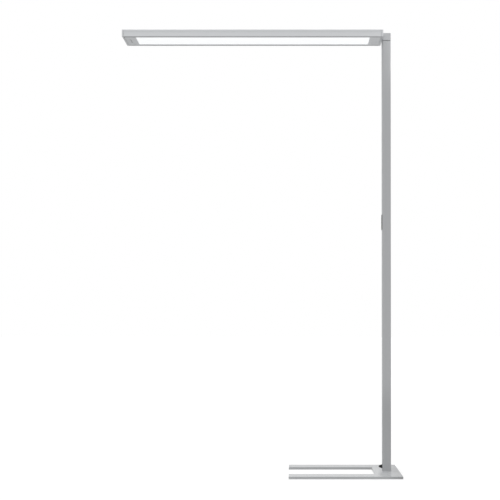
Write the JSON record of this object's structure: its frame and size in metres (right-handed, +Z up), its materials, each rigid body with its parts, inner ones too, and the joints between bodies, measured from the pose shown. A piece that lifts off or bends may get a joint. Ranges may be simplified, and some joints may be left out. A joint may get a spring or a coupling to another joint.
{
  "type": "office floor lamp",
  "caption": "Free-standing office floor lamp: long flat light head cantilevered from a slim square mast on a low forked base plate, with a swivel and push buttons.",
  "frame": {"origin": "on the floor under the mast's axis, on the underside of the heel pad", "axes": "+Z up; the head and the base's prongs reach toward -X; the front is -Y"},
  "size_m": [1.224, 0.338, 1.96],
  "materials": {
    "base_steel": "fine silver texture paint on steel",
    "pad_rubber": "matt",
    "screw_steel": "zinc plated",
    "inner_aluminium": "as machined",
    "mast_silver": "satin anodised",
    "black_rubber": "matt",
    "white_plastic": "moulded",
    "cable_white": "smooth sheath",
    "panel_plastic": "fine texture",
    "button_plastic": "satin",
    "circuit_board": "solder mask",
    "bush_brass": "sintered",
    "washer_plastic": "smooth",
    "inner_steel": "turned",
    "elbow_silver": "satin silver paint on a casting",
    "head_silver": "satin anodised",
    "cap_silver": "satin silver paint",
    "diffuser_white": "opal, lit",
    "clear_acrylic": "clear, finely ribbed",
    "guide_acrylic": "clear, polished edges",
    "light_board": "white solder mask",
    "driver_case": "white paint",
    "lead_red": "smooth sheath",
    "lead_blue": "smooth sheath",
    "sensor_grey": "smoked",
    "sensor_dark": "dark lens"
  },
  "bodies": {
    "stand": {"base_plate": "base_steel", "heel_pad": "pad_rubber", "prong_pads": "pad_rubber", "base_screws": "screw_steel", "mast_foot": "inner_aluminium", "mast": "mast_silver", "mast_screws": "screw_steel", "cable_gland": "black_rubber", "terminal_block": "white_plastic", "mast_cable": "cable_white", "control_cable": "cable_white", "panel_housing": "panel_plastic", "switch_board": "circuit_board", "board_screws": "screw_steel", "board_plug": "white_plastic", "bearing_block": "inner_aluminium", "upper_bush": "bush_brass", "lower_bush": "bush_brass", "swivel_washer": "washer_plastic", "thrust_washer": "washer_plastic", "stop_pin": "screw_steel"},
    "head": {"stop_collar": "inner_steel", "collar_screw": "screw_steel", "swivel_shaft": "inner_steel", "flange_screws": "screw_steel", "elbow": "elbow_silver", "elbow_lid": "elbow_silver", "elbow_connector": "white_plastic", "head_frame": "head_silver", "end_cap_left": "cap_silver", "end_cap_right": "cap_silver", "cap_screws": "screw_steel", "end_plate_left": "cap_silver", "end_plate_right": "cap_silver", "diffuser": "diffuser_white", "light_guide": "guide_acrylic", "reflector_sheet": "white_plastic", "edge_strip_front": "light_board", "edge_strip_rear": "light_board", "upper_light_boards": "light_board", "top_cover": "clear_acrylic", "driver_cover": "head_silver", "driver": "driver_case", "driver_screws": "screw_steel", "head_bracket": "inner_aluminium", "bracket_screws": "screw_steel", "elbow_bolts": "screw_steel", "driver_lead": "cable_white", "light_leads": "lead_red", "sensor_window": "sensor_grey", "sensor_lens": "sensor_dark", "sensor_board": "circuit_board", "sensor_lead": "lead_blue"},
    "up_key": {"button_up": "button_plastic"},
    "power_key": {"button_power": "button_plastic"},
    "down_key": {"button_down": "button_plastic"}
  },
  "joints": [
    {"name": "head_swivel", "type": "hinge", "parent": "stand", "child": "head", "pos_m": [0, 0, 1.9264], "axis": [0, 0, 1], "range_deg": [-45, 45]},
    {"name": "up_press", "type": "slide", "parent": "stand", "child": "up_key", "axis": [1, 0, 0], "range_m": [0, 0.0008], "stiffness_N_per_m": 500, "springref_m": -0.001},
    {"name": "power_press", "type": "slide", "parent": "stand", "child": "power_key", "axis": [1, 0, 0], "range_m": [0, 0.0008], "stiffness_N_per_m": 500, "springref_m": -0.001},
    {"name": "down_press", "type": "slide", "parent": "stand", "child": "down_key", "axis": [1, 0, 0], "range_m": [0, 0.0008], "stiffness_N_per_m": 500, "springref_m": -0.001}
  ]
}
